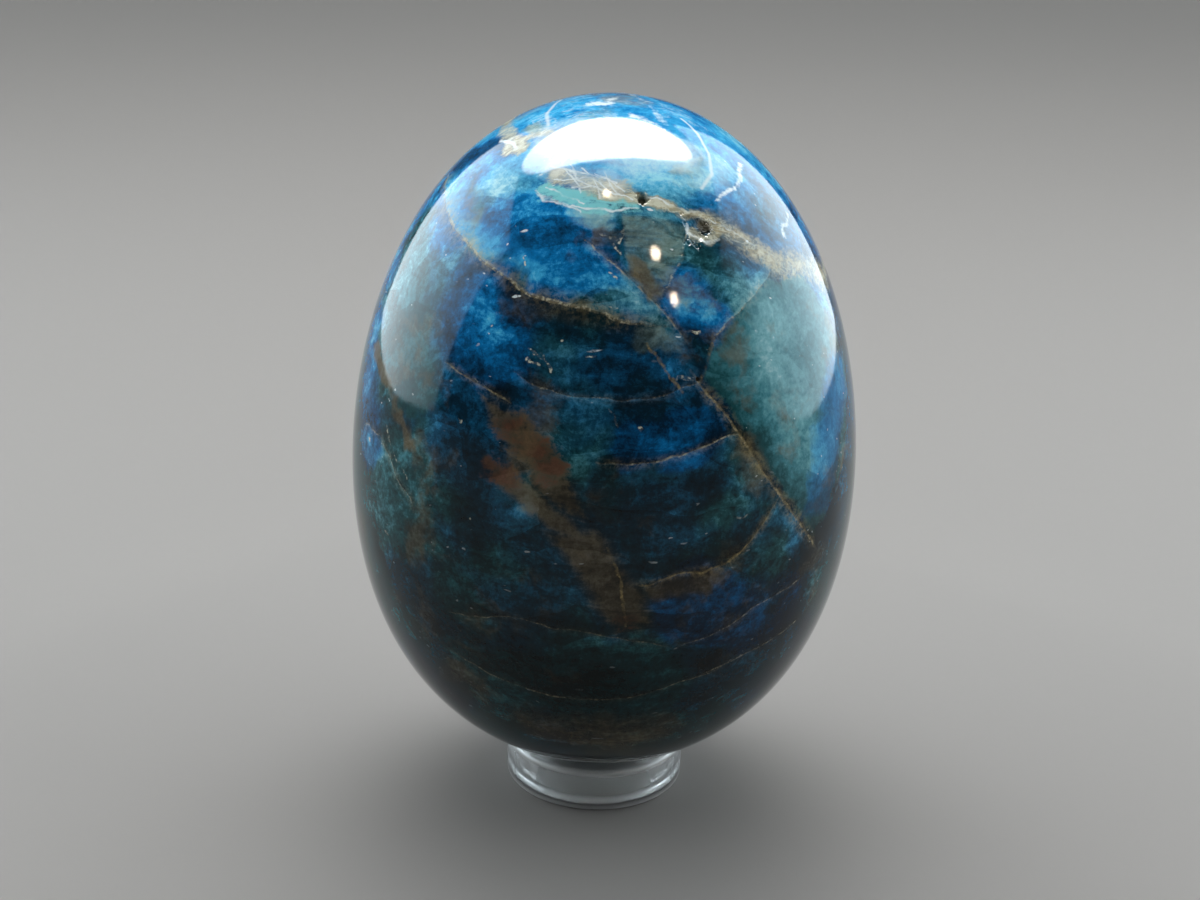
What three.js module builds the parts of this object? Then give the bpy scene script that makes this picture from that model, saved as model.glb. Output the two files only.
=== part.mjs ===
// A polished stone egg that stands on a short ring cut from clear acrylic tube.
// Two loose pieces: nothing fastens them, and the egg lifts straight off.
// Millimetres, +Z up. The origin is the centre of the ring's underside.

import * as THREE from "three";

// Driving dimensions of the egg

const eggHeight = 70.5;
const eggDiameter = 52; // at the fullest girth
const eggTaper = 0.074; // how far the girth moves to the lower, blunt end
const eggFullness = 0.075; // how much rounder both ends are than an ellipse's

// Driving dimensions of the ring

const ringOuterDiameter = 19;
const ringBore = 12.7;
const ringHeight = 4.8;
const ringEdgeRadius = 0.5; // all four rims are polished round

// Running clearance between the egg and the rim that carries it

const seatClearance = 0.3;

// Facets

const eggSides = 72;
const eggRings = 44;
const ringSides = 72;
const edgeSteps = 2;
const seatSamples = 4000; // steps in which the egg is tried against its seat

// Half-width of the egg at a share of its height that runs from -1, the lower
// pole, to 1, the upper one, before it is brought to its real girth.

function plainHalfWidth(share) {
  const ellipse = Math.sqrt(Math.max(0, 1 - share * share));
  return ellipse * (1 - eggTaper * share + eggFullness * share * share);
}

function fullestHalfWidth() {
  let fullest = 0;
  for (let i = 0; i <= seatSamples; i++) {
    fullest = Math.max(fullest, plainHalfWidth((2 * i) / seatSamples - 1));
  }
  return fullest;
}

const girthScale = eggDiameter / 2 / fullestHalfWidth();

// A point of the egg's outline, from the lower pole at turn 0 to the upper one
// at turn 1: x is the distance from the axis, y the height above the lower pole.

function outlinePoint(turn) {
  const share = -Math.cos(Math.PI * turn);
  const onAxis = turn === 0 || turn === 1;
  const halfWidth = onAxis ? 0 : girthScale * plainHalfWidth(share);
  return new THREE.Vector2(halfWidth, (eggHeight * (1 + share)) / 2);
}

// Height of the egg's lower pole when it rests on the round inner rim, a
// clearance away from it all round.

function restingHeight() {
  const rimCentreRadius = ringBore / 2 + ringEdgeRadius;
  const rimCentreHeight = ringHeight - ringEdgeRadius;
  const reach = ringEdgeRadius + seatClearance;
  let height = 0;
  for (let i = 0; i <= seatSamples; i++) {
    const point = outlinePoint((0.5 * i) / seatSamples);
    const across = point.x - rimCentreRadius;
    if (Math.abs(across) < reach) {
      const rim = rimCentreHeight + Math.sqrt(reach * reach - across * across);
      height = Math.max(height, rim - point.y);
    }
  }
  return height;
}

// The egg

function makeEgg() {
  const outline = [];
  for (let i = 0; i <= eggRings; i++) {
    outline.push(outlinePoint(i / eggRings));
  }
  const geometry = new THREE.LatheGeometry(outline, eggSides);
  geometry.rotateX(Math.PI / 2);
  const material = new THREE.MeshStandardMaterial({
    color: 0x12506e,
    roughness: 0.08,
    metalness: 0,
  });
  const egg = new THREE.Mesh(geometry, material);
  egg.name = "stone_egg";
  egg.position.z = restingHeight();
  return egg;
}

// The ring: one turned section with four round rims and a flat underside

function ringSection() {
  const inner = ringBore / 2;
  const outer = ringOuterDiameter / 2;
  const round = ringEdgeRadius;
  const quarter = Math.PI / 2;
  const section = new THREE.Shape();
  section.moveTo(inner + round, 0);
  section.lineTo(outer - round, 0);
  section.absarc(outer - round, round, round, -quarter, 0, false);
  section.lineTo(outer, ringHeight - round);
  section.absarc(outer - round, ringHeight - round, round, 0, quarter, false);
  section.lineTo(inner + round, ringHeight);
  section.absarc(inner + round, ringHeight - round, round, quarter, 2 * quarter, false);
  section.lineTo(inner, round);
  section.absarc(inner + round, round, round, 2 * quarter, 3 * quarter, false);
  return section.getPoints(edgeSteps);
}

function makeRing() {
  const geometry = new THREE.LatheGeometry(ringSection(), ringSides);
  geometry.rotateX(Math.PI / 2);
  const material = new THREE.MeshStandardMaterial({
    color: 0xf2f6f6,
    roughness: 0.06,
    metalness: 0,
    transparent: true,
    opacity: 0.35,
  });
  const ring = new THREE.Mesh(geometry, material);
  ring.name = "ring_stand";
  return ring;
}

const eggOnStand = new THREE.Group();
eggOnStand.add(makeRing(), makeEgg());

export default eggOnStand;
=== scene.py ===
import math
from typing import NamedTuple

import bmesh
import bpy
from bpy.props import (
    FloatProperty,
    FloatVectorProperty,
    IntProperty,
    PointerProperty,
)
from mathutils import Matrix, Quaternion, Vector, noise


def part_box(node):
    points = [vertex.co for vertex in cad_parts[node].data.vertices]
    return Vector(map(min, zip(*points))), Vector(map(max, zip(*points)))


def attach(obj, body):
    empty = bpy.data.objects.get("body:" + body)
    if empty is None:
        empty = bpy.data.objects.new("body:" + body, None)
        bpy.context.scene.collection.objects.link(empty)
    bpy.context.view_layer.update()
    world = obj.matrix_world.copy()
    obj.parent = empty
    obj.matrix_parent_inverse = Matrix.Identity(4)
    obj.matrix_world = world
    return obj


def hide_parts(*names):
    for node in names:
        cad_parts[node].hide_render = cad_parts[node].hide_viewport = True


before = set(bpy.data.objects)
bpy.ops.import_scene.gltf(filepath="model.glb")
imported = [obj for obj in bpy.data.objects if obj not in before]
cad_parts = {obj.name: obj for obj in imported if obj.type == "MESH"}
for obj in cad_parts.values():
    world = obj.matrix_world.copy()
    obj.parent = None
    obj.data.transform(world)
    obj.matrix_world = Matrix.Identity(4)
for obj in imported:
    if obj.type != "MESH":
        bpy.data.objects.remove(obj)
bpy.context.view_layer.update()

bl_info = {
    "name": "Stone egg on a ring stand",
    "version": (1, 0, 0),
    "blender": (4, 5, 0),
    "location": "View3D > Sidebar > Stone egg",
    "description": "Builds a polished stone egg, its clear ring stand and a small studio",
    "category": "Object",
}

MM = 0.001
MERGE_GAP = 1e-6  # points of a turned mesh that lie closer are one, in metres
EGG_LOW, EGG_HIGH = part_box("stone_egg")
RING_LOW, RING_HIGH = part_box("ring_stand")


# Sizes and colours that a user would change


def length(name, description, default):
    return FloatProperty(
        name=name, description=description, default=default, unit="LENGTH", precision=5
    )


def number(name, description, default):
    return FloatProperty(name=name, description=description, default=default)


def count(name, description, default, least):
    return IntProperty(name=name, description=description, default=default, min=least)


def colour(name, description, default):
    return FloatVectorProperty(
        name=name,
        description=description,
        default=default,
        subtype="COLOR",
        size=3,
        min=0,
        max=1,
    )


class EggSettings(bpy.types.PropertyGroup):
    """Shape and figure of the stone egg."""

    height: length("Height", "From pole to pole", EGG_HIGH.z - EGG_LOW.z)
    diameter: length("Diameter", "Across the fullest girth", 0.052)
    foot: length("Foot", "Height of the lower pole above the ground", EGG_LOW.z)
    taper: number("Taper", "How far the girth moves towards the blunt end", 0.074)
    fullness: number("Fullness", "How much rounder the ends are than an ellipse's", 0.075)
    sides: count("Sides", "Steps round the egg", 256, 16)
    rings: count("Rings", "Steps from pole to pole", 176, 8)
    grey_green: colour("Grey green", "Dull mineral zones", (0.156, 0.215, 0.182))
    turquoise: colour("Turquoise", "Clear lens under the vein", (0.260, 0.720, 0.740))
    rust: colour("Rust", "Iron stain", (0.090, 0.038, 0.021))
    brown: colour("Brown", "Brown-green bands", (0.115, 0.088, 0.046))
    cream: colour("Cream", "Calcite veins", (0.700, 0.710, 0.570))
    gold: colour("Gold", "Stained crack lines", (0.400, 0.300, 0.125))
    white: colour("White", "Fresh crack glints", (0.840, 0.930, 0.950))


class RingSettings(bpy.types.PropertyGroup):
    """Shape and tint of the ring stand."""

    diameter: length("Diameter", "Outside", RING_HIGH.x - RING_LOW.x)
    bore: length("Bore", "Inside diameter", 0.0127)
    height: length("Height", "Of the tube slice", RING_HIGH.z - RING_LOW.z)
    edge: length("Edge radius", "Of the polished rims", 0.0005)
    sides: count("Sides", "Steps round the ring", 160, 16)
    tint: colour("Tint", "Colour of the clear acrylic", (0.965, 0.985, 0.990))


class StageSettings(bpy.types.PropertyGroup):
    """Floor, lamps and camera. A level of 1 is as bright as white paper."""

    floor_colour: colour("Floor", "Plain pale floor", (0.252, 0.244, 0.236))
    floor_size: length("Floor size", "Side of the floor", 6.0)
    sides_level: number("Side level", "Of the far side panels", 2.1)
    top_level: number("Top level", "Of the top panel", 5.7)
    ceiling_level: number("Ceiling level", "Of the wide ceiling", 0.65)
    shine_level: number("Shine level", "Of the side cards", 6.9)
    card_level: number("Card level", "Of the top card", 50.0)
    spots_level: number("Spots level", "Times that of the small lamps", 0.75)
    fill_level: number("Fill level", "Of the surroundings", 0.06)
    lens: FloatProperty(
        name="Lens", description="Focal length", default=66.0, subtype="DISTANCE_CAMERA"
    )


# Shape of the egg, in metres above the ground and out from the axis


def plain_half_width(share, egg):
    """At a share of the height that runs from -1, the lower pole, to 1, the upper."""
    ellipse = math.sqrt(max(0.0, 1 - share * share))
    return ellipse * (1 - egg.taper * share + egg.fullness * share * share)


def girth_scale(egg):
    """What brings the plain half-width to the egg's real girth."""
    fullest = max(plain_half_width(i / 500 - 1, egg) for i in range(1001))
    return egg.diameter / 2 / fullest


def half_width(height, egg, scale):
    share = 2 * (height - egg.foot) / egg.height - 1
    return scale * plain_half_width(max(-1.0, min(1.0, share)), egg)


def egg_point(turn, height, egg, scale):
    """A place on the egg, from its turn away from the front and its height."""
    angle = math.radians(turn)
    reach = half_width(height, egg, scale)
    return Vector((reach * math.sin(angle), -reach * math.cos(angle), height))


def egg_facing(turn, height, egg, scale):
    """The outward normal there."""
    step = egg.height / 2000
    top = egg.foot + egg.height
    low, high = max(egg.foot, height - step), min(top, height + step)
    rise = half_width(high, egg, scale) - half_width(low, egg, scale)
    slope = rise / (high - low)
    angle = math.radians(turn)
    return Vector((math.sin(angle), -math.cos(angle), -slope)).normalized()


# Nodes


class Graph:
    """Adds nodes to a tree. Each input takes a socket, a number or a vector."""

    def __init__(self, tree):
        self.tree = tree

    def feed(self, socket, value):
        if isinstance(value, bpy.types.NodeSocket):
            self.tree.links.new(value, socket)
        elif value is not None:
            if socket.type == "RGBA" and len(value) == 3:
                value = (*value, 1)
            socket.default_value = value

    def add(self, kind, *values, **settings):
        made = self.tree.nodes.new(kind)
        for name, value in settings.items():
            setattr(made, name, value)
        for socket, value in zip(made.inputs, values):
            self.feed(socket, value)
        return made

    def feed_named(self, made, **values):
        for name, value in values.items():
            self.feed(made.inputs[name.replace("_", " ")], value)
        return made

    def math(self, operation, *values):
        return self.add("ShaderNodeMath", *values, operation=operation).outputs[0]

    def vector(self, operation, *values):
        return self.add("ShaderNodeVectorMath", *values, operation=operation).outputs[0]

    def measure(self, operation, *values):
        return self.add("ShaderNodeVectorMath", *values, operation=operation).outputs[1]

    def scaled(self, vector, factor):
        made = self.add("ShaderNodeVectorMath", vector, operation="SCALE")
        return self.feed_named(made, Scale=factor).outputs[0]

    def fade(self, value, start, end, low=0.0, high=1.0):
        """From low at start to high at end, held outside them. A smooth step holds
        by itself, and a clamp would make the renderer run out of places."""
        return self.add(
            "ShaderNodeMapRange",
            value,
            start,
            end,
            low,
            high,
            interpolation_type="SMOOTHSTEP",
            clamp=False,
        ).outputs[0]

    def mix(self, factor, first, second):
        made = self.add("ShaderNodeMix", factor, data_type="RGBA")
        self.feed(made.inputs[6], first)
        self.feed(made.inputs[7], second)
        return made.outputs[2]

    def noise(self, position, scale, detail, roughness=0.5, distortion=0.0):
        return self.feed_named(
            self.add("ShaderNodeTexNoise"),
            Vector=position,
            Scale=scale,
            Detail=detail,
            Roughness=roughness,
            Distortion=distortion,
        ).outputs

    def cells(self, position, scale):
        made = self.add("ShaderNodeTexVoronoi")
        return self.feed_named(made, Vector=position, Scale=scale).outputs

    def channel(self, shade, index):
        """The red, green or blue of a colour."""
        return self.add("ShaderNodeSeparateColor", shade).outputs[index]

    def warp(self, position, scale, amount, detail):
        """The position, shaken by noise as far as the amount says."""
        shake = self.noise(position, scale, detail)["Color"]
        centred = self.vector("SUBTRACT", shake, (0.5, 0.5, 0.5))
        return self.vector("ADD", position, self.scaled(centred, 2 * amount))

    def ramp(self, value, tones):
        made = self.add("ShaderNodeValToRGB", value)
        steps = made.color_ramp.elements
        while len(steps) < len(tones):
            steps.new(0.5)
        for step, (place, shade) in zip(steps, tones):
            step.position = place
            step.color = (*shade, 1)
        return made.outputs[0]


def new_group(name, inputs, outputs):
    tree = bpy.data.node_groups.new(name, "ShaderNodeTree")
    for kind, names in inputs:
        for each in names:
            tree.interface.new_socket(each, in_out="INPUT", socket_type=kind)
    for each in outputs:
        tree.interface.new_socket(each, in_out="OUTPUT", socket_type="NodeSocketFloat")
    graph = Graph(tree)
    return graph, graph.add("NodeGroupInput").outputs, graph.add("NodeGroupOutput")


HAZE = 6.0  # how many times wider than its line a crack's haze is


def fracture_group():
    """A flat crack through the stone: a line where it meets the surface, paler stone
    on one side of it and darker stone on the other. It adds to what comes in."""
    graph, given, result = new_group(
        "fracture",
        [
            ("NodeSocketVector", ["Position", "Normal", "Centre"]),
            ("NodeSocketFloat", ["Offset", "Core", "Reach", "Thin", "Width", "Spread"]),
            ("NodeSocketFloat", ["Pale", "Gold", "Veil", "Shade"]),
            ("NodeSocketFloat", ["Pale In", "Gold In", "Haze In", "Tone In"]),
        ],
        ["Pale", "Gold", "Haze", "Tone"],
    )
    along = graph.measure("DOT_PRODUCT", given["Position"], given["Normal"])
    side = graph.math("SUBTRACT", along, given["Offset"])
    gap = graph.math("ABSOLUTE", side)
    away = graph.measure("DISTANCE", given["Position"], given["Centre"])
    near = graph.fade(away, given["Core"], given["Reach"], 1, 0)
    line = graph.math("MULTIPLY", graph.fade(gap, given["Thin"], given["Width"], 1, 0), near)
    for name in ("Pale", "Gold"):
        mark = graph.math("MULTIPLY", line, given[name])
        graph.feed(result.inputs[name], graph.math("MAXIMUM", mark, given[name + " In"]))
    strength = graph.math("MAXIMUM", given["Gold"], given["Pale"])
    haze = graph.fade(gap, 0, graph.math("MULTIPLY", given["Width"], HAZE), 1, 0)
    haze = graph.math("MULTIPLY", graph.math("MULTIPLY", haze, near), strength)
    graph.feed(result.inputs["Haze"], graph.math("MAXIMUM", haze, given["Haze In"]))
    both = graph.math("ADD", given["Veil"], given["Shade"])
    facing = graph.math("GREATER_THAN", side, 0)
    change = graph.math("SUBTRACT", graph.math("MULTIPLY", facing, both), given["Shade"])
    change = graph.math("MULTIPLY", change, near)
    reach = graph.fade(gap, 0, given["Spread"], 1, 0)
    tone = graph.math("MULTIPLY_ADD", change, reach, given["Tone In"])
    graph.feed(result.inputs["Tone"], tone)
    return graph.tree


SQUASH = 0.95  # how much of the egg's bulge a narrow stroke leaves out of its distances


def stroke_group(name, squashed):
    """A straight stroke with round soft ends, which raises what comes in. A squashed
    one also takes the outward direction, along which distances hardly count."""
    graph, given, result = new_group(
        name,
        [
            ("NodeSocketVector", ["Position", "Start", "Along"]),
            ("NodeSocketVector", ["Squash"] if squashed else []),
            ("NodeSocketFloat", ["Length", "Width", "Edge", "Amount", "In"]),
        ],
        ["Out"],
    )
    offset = graph.vector("SUBTRACT", given["Position"], given["Start"])
    if squashed:
        depth = graph.measure("DOT_PRODUCT", offset, given["Squash"])
        bulge = graph.scaled(given["Squash"], depth)
        offset = graph.vector("SUBTRACT", offset, bulge)
    reach = graph.measure("DOT_PRODUCT", offset, given["Along"])
    reach = graph.math("MINIMUM", graph.math("MAXIMUM", reach, 0), given["Length"])
    away = graph.measure("DISTANCE", offset, graph.scaled(given["Along"], reach))
    mask = graph.fade(away, given["Width"], given["Edge"], given["Amount"], 0)
    graph.feed(result.inputs["Out"], graph.math("MAXIMUM", mask, given["In"]))
    return graph.tree


class Figure:
    """Places the marks of the stone's figure. Places are (turn from the front in
    degrees, height above the ground in millimetres); lengths are millimetres."""

    def __init__(self, graph, egg):
        self.graph, self.egg = graph, egg
        self.scale = girth_scale(egg)
        self.fracture_tree = fracture_group()
        self.stroke_tree = stroke_group("stroke", True)
        self.blot_tree = stroke_group("blot", False)

    def point(self, place):
        return egg_point(place[0], place[1] * MM, self.egg, self.scale) / MM

    def facing(self, place):
        return egg_facing(place[0], place[1] * MM, self.egg, self.scale)

    def use(self, tree, **values):
        made = self.graph.add("ShaderNodeGroup", node_tree=tree)
        return self.graph.feed_named(made, **values).outputs

    def fracture(self, position, state, places, width, spread, amounts):
        """A crack through three places. The stone is paler to the left of the way
        from the first to the last, and darker to the right."""
        first, middle, last = (self.point(p) for p in places)
        normal = (middle - first).cross(last - first).normalized()
        facing = self.facing(places[1])
        ahead = (last - first).normalized()
        if normal.dot(facing.cross(ahead)) < 0:
            normal = -normal
        slant = math.sqrt(max(0.02, 1 - normal.dot(facing) ** 2))
        reach = 0.56 * (last - first).length
        pale, gold, veil, shade = amounts
        return self.use(
            self.fracture_tree,
            Position=position,
            Normal=normal,
            Centre=(first + last) / 2,
            Offset=normal.dot(middle),
            Core=0.8 * reach,
            Reach=reach,
            Thin=0.3 * width * slant,
            Width=width * slant,
            Spread=spread * slant,
            Pale=pale,
            Gold=gold,
            Veil=veil,
            Shade=shade,
            Pale_In=state["Pale"],
            Gold_In=state["Gold"],
            Haze_In=state["Haze"],
            Tone_In=state["Tone"],
        )

    def strokes(self, position, total, path, width, soft, amount, wide):
        """A run of strokes through the places, or a spot at a single one."""
        legs = list(zip(path, path[1:])) or [(path[0], path[0])]
        for start, end in legs:
            a, b = self.point(start), self.point(end)
            facing = self.facing(((start[0] + end[0]) / 2, (start[1] + end[1]) / 2))
            chord = b - a
            values = {} if wide else {"Squash": SQUASH * facing}
            if not wide:
                chord -= facing * chord.dot(facing)
            total = self.use(
                self.blot_tree if wide else self.stroke_tree,
                Position=position,
                Start=a,
                Along=chord.normalized() if chord.length > 0.01 else Vector((1, 0, 0)),
                Length=chord.length,
                Width=width,
                Edge=width + soft,
                Amount=amount,
                In=total,
                **values,
            )["Out"]
        return total

    def inside(self, position, corners):
        """How deep a point lies inside the corners, which go round a bulging form:
        the distance to the nearest of its edges, and below zero outside."""
        graph = self.graph
        points = [self.point(corner) for corner in corners]
        centre = sum(points, Vector()) / len(points)
        heart = Vector((0, 0, centre.z))
        depth = None
        for a, b in zip(points, points[1:] + points[:1]):
            normal = (a - heart).cross(b - heart).normalized()
            if normal.dot(centre - heart) < 0:
                normal = -normal
            along = graph.measure("DOT_PRODUCT", position, normal)
            away = graph.math("SUBTRACT", along, normal.dot(heart))
            depth = graph.math("MINIMUM", depth, away) if depth else away
        return depth


# The stone's figure, laid out against the photograph. It doesn't show the sides
# and the back, so what is there is made up in the manner of the front.
# A crack is (places, width, spread, (pale, gold, veil, shade)).

FRACTURES = (
    # the long loop over the left shoulder
    (((-85, 66.6), (-46, 63.2), (9, 58.6)), 0.26, 5.0, (0.60, 0.8, 0.10, 0.09)),
    # the straight crack down to the right
    (((53, 34.7), (32, 46.7), (21, 53.5)), 0.18, 4.0, (0.25, 1.0, 0.06, 0.12)),
    (((27, 57.1), (41, 59.9), (50, 61.5)), 0.16, 3.0, (0.35, 0.3, 0.08, 0.10)),
    (((21, 53.3), (3, 52.0), (-20, 53.1)), 0.12, 3.0, (0.25, 0.2, 0.08, 0.14)),
    (((29, 48.1), (15, 46.6), (-1, 46.2)), 0.14, 4.0, (0.55, 0.6, 0.08, 0.17)),
    (((40, 40.8), (27, 36.3), (9, 34.4)), 0.14, 4.0, (0.00, 0.9, 0.05, 0.12)),
    (((27, 23.3), (4, 21.0), (-36, 23.7)), 0.14, 4.0, (0.15, 0.2, 0.05, 0.08)),
    (((53, 26.2), (39, 24.9), (25, 23.2)), 0.14, 4.0, (0.20, 0.2, 0.06, 0.08)),
    (((15, 27.0), (-2, 29.1), (-33, 28.8)), 0.10, 4.0, (0.12, 0.2, 0.05, 0.08)),
    (((49, 31.4), (34, 29.8), (18, 26.8)), 0.12, 3.5, (0.25, 0.2, 0.07, 0.08)),
    (((-22, 51.1), (-29, 52.0), (-40, 53.0)), 0.12, 3.0, (0.20, 0.6, 0.05, 0.10)),
    (((-45, 38.5), (-57, 42.6), (-68, 43.2)), 0.18, 3.5, (0.40, 0.0, 0.10, 0.07)),
    (((19, 57.1), (10, 61.0), (-8, 65.1)), 0.14, 3.0, (0.40, 0.5, 0.06, 0.08)),
    # round the sides and the back
    (((95, 62.0), (120, 52.0), (138, 38.0)), 0.18, 5.0, (0.30, 0.7, 0.11, 0.11)),
    (((205, 66.0), (172, 60.0), (140, 57.5)), 0.20, 5.0, (0.50, 0.6, 0.10, 0.10)),
    (((178, 59.0), (190, 46.0), (210, 34.0)), 0.14, 4.5, (0.20, 0.8, 0.10, 0.12)),
    (((-95, 52.0), (-118, 44.0), (-150, 41.0)), 0.16, 4.5, (0.35, 0.4, 0.10, 0.12)),
    (((80, 33.0), (112, 28.0), (150, 31.0)), 0.12, 4.0, (0.20, 0.3, 0.08, 0.10)),
    (((160, 47.0), (140, 44.0), (112, 46.5)), 0.12, 4.0, (0.30, 0.3, 0.09, 0.13)),
    (((-90, 24.0), (-125, 21.0), (-165, 26.0)), 0.12, 4.0, (0.15, 0.2, 0.07, 0.09)),
    (((-105, 63.0), (-130, 56.0), (-140, 47.0)), 0.14, 4.0, (0.30, 0.5, 0.10, 0.10)),
)

# Forms with straight edges, by their corners

# Partly the stone's pale teal and partly a painted reflection of the right-hand lamp
MILKY_AND_REFLECTION_FORM = ((22, 53.6), (27, 57.2), (46, 61), (64, 60), (76, 50), (66, 41), (52, 35.5))
FACET_FORM = ((4, 67.4), (24, 66.0), (20, 63.6), (14, 60.8), (5, 63.8))
RUST_FORM = ((-27, 50.8), (-18, 50.2), (-9, 46.2), (-4, 41.6), (-9, 41.8), (-22, 47.0))
LIMB_FORM = ((-26, 45.8), (-21, 45.0), (-7, 41.0), (-3, 39.0), (-10, 39.8), (-22, 43.2))
BARK_FORM = ((-11, 39.2), (-2, 39.8), (9, 33.6), (11, 30.0), (4, 29.6), (-3, 34.2))
WEDGE_FORM = ((17, 58.2), (27, 57.4), (22, 53.4))

# Marks are (path, half width, soft edge, amount); a path is a run of places.

# Paler stone, and on the left shoulder a painted reflection
PALER_AND_REFLECTION_MARKS = (
    (((100, 70), (92, 62)), 1.5, 4.5, 0.8),
    (((-100, 66), (-92, 57)), 2.0, 4.0, 0.9),
    # A painted reflection of the left-hand lamp
    (((-76, 66), (-56, 63), (-36, 63.8)), 0.8, 2.6, 1.2),
    (((-52, 68.0), (-42, 67.8), (-30, 67.4)), 0.6, 2.4, 0.9),
    (((14, 70.6), (36, 69.4)), 0.8, 2.6, 0.7),
    (((-12, 67.3), (-1, 66.8)), 0.4, 1.6, 1.6),
    (((-8, 60.8), (2, 60.6)), 0.6, 2.0, 0.6),
    (((-10, 52), (8, 47.5)), 1.5, 5.0, 0.35),
    (((-38, 63.8), (-19, 62.2)), 0.3, 1.6, 0.9),
    (((42, 59), (46, 50), (50, 40)), 1.5, 5.0, 0.9),
    (((64, 58), (62, 50)), 2.0, 4.0, 0.6),
    (((-78, 55), (-72, 49)), 0.8, 2.5, 0.6),
    (((-5, 52.6), (14, 54)), 0.3, 1.5, 0.6),
    (((-33, 60), (-32, 57)), 1.0, 2.6, 0.8),
    (((-24, 65.5), (-16, 64.5)), 0.8, 2.2, 0.5),
    (((22, 60),), 1.0, 2.2, 0.8),
    (((7, 48.5), (18, 48.6)), 0.3, 1.4, 0.9),
    (((20, 31), (36, 30)), 1.2, 3.6, 0.25),
    (((67, 49), (54, 42)), 0.6, 2.2, 0.5),
    (((-62, 41), (-55, 37)), 0.6, 2.6, 0.5),
    (((-17, 41.8), (-8, 40.8)), 0.1, 1.0, 0.8),
    (((14, 41.7), (21, 42.5)), 0.1, 0.9, 0.7),
    (((100, 60), (118, 50)), 1.5, 4.0, 1.0),
    (((185, 63), (160, 61)), 1.2, 4.0, 0.9),
    (((-120, 57), (-128, 50)), 1.2, 4.0, 0.9),
    (((195, 44), (208, 38)), 1.2, 3.5, 0.8),
    (((130, 35), (110, 31)), 1.0, 3.5, 0.6),
)
DARK_MARKS = (
    (((-88, 68.4), (-72, 70), (-60, 70.4)), 0.8, 1.6, 1.3),
    (((-24, 59.6), (-6, 58.4), (5, 57.4)), 0.9, 2.2, 0.9),
    (((-12, 55.5), (4, 54.5)), 1.4, 3.0, 0.5),
    (((2, 50.6), (18, 51.2)), 0.5, 1.6, 1.1),
    (((3, 44.6), (20, 43.2)), 1.6, 2.6, 1.1),
    (((-32, 44), (-26, 38)), 1.2, 3.0, 0.8),
    (((-30, 26), (0, 23)), 1.5, 4.0, 0.6),
    (((56, 39), (50, 33), (46, 27)), 1.4, 3.0, 0.8),
    (((-24, 51.4), (-12, 51.6)), 0.5, 1.4, 0.9),
    (((-22, 47.0), (-15, 45.0), (-9, 42.4)), 0.1, 0.7, 1.4),
    (((-5, 43.5), (0, 41)), 0.8, 1.8, 1.0),
    (((22, 34.3), (10, 33.2)), 0.3, 1.2, 1.0),
    (((150, 50), (128, 46)), 1.5, 3.0, 0.9),
    (((200, 55), (216, 50)), 1.2, 3.0, 0.8),
    (((-110, 38), (-140, 35)), 1.5, 4.0, 0.8),
)
# Pale teal zones: partly the stone's own colour, partly painted reflections of the side
# lamps
MILKY_AND_REFLECTION_MARKS = (
    (((-64, 66), (-45, 64.4), (-24, 62.4)), 0.8, 2.6, 1.0),
    (((-54, 56), (-50, 50)), 1.5, 4.0, 0.8),
    (((105, 56), (122, 46)), 2.0, 5.0, 1.0),
    (((-122, 60), (-135, 52)), 2.0, 4.0, 0.9),
)
# Bluer stone, and on the left shoulder the tint of a painted reflection
ROYAL_AND_REFLECTION_MARKS = (
    (((100, 70), (92, 60)), 3.5, 4.5, 1.0),
    (((-100, 66), (-90, 57)), 2.5, 4.0, 1.0),
    (((-34, 59.5), (-30, 56)), 2.0, 4.0, 1.0),
    (((-34, 65.6), (-8, 63.2)), 1.9, 3.4, 1.0),
    # The bluer tint of the painted reflection of the left-hand lamp
    (((-74, 66), (-52, 64)), 1.0, 3.0, 0.8),
    (((20, 61), (24, 59)), 1.4, 2.6, 1.0),
    (((5, 48.2), (20, 48.4)), 0.8, 2.2, 1.0),
    (((20, 32), (42, 29)), 2.0, 4.0, 1.0),
    (((-76, 52), (-66, 42)), 1.5, 3.0, 0.9),
    (((68, 50), (54, 41)), 1.5, 3.0, 0.9),
    (((150, 64), (175, 55)), 3.0, 5.0, 1.0),
    (((-160, 52), (-170, 40)), 3.0, 5.0, 0.9),
)
GREY_MARKS = (
    (((-12, 67.3), (-1, 66.8)), 0.4, 1.6, 0.5),
    (((8, 57.6), (14, 56.4)), 0.6, 1.4, 0.55),
    (((-63, 72), (-50, 72.4)), 0.4, 0.9, 0.9),
    (((165, 52), (172, 49)), 1.0, 2.0, 0.8),
)
BROWN_MARKS = (
    (((-22, 59.4), (-6, 58.8)), 0.3, 1.6, 0.32),
    (((-2, 65.6), (3, 65.2)), 0.4, 1.2, 0.6),
    (((31, 46.5), (34, 43.5)), 0.5, 2.4, 0.6),
    (((-68, 51), (-56, 47.4), (-47, 44.3)), 0.2, 1.2, 1.0),
    (((25, 34.8), (12, 33.6)), 0.2, 1.3, 0.9),
    (((9, 63.2), (12, 61.6)), 0.4, 1.4, 0.9),
    (((-14, 16.5), (12, 16.5)), 1.5, 3.5, 0.6),
    (((68, 42), (62, 39.4)), 0.2, 1.0, 0.8),
    (((120, 60), (128, 57)), 0.6, 2.0, 0.9),
    (((-150, 33), (-132, 30)), 0.8, 2.5, 0.9),
)
RUST_MARKS = (
    (((-20, 48.6), (-12, 45.6)), 0.2, 2.6, 0.9),
    (((-25, 45), (-20, 44)), 0.1, 1.8, 0.8),
    (((6, 30.4),), 0.2, 1.8, 0.7),
    (((182, 38), (192, 35)), 0.4, 2.2, 0.6),
)
LENS_MARKS = (
    (((-26, 68.6), (-16, 68.3), (-4, 68.0)), 0.25, 1.2, 1.1),
    (((-4, 68.0), (8, 67.9)), 0.1, 0.9, 1.0),
)
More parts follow.
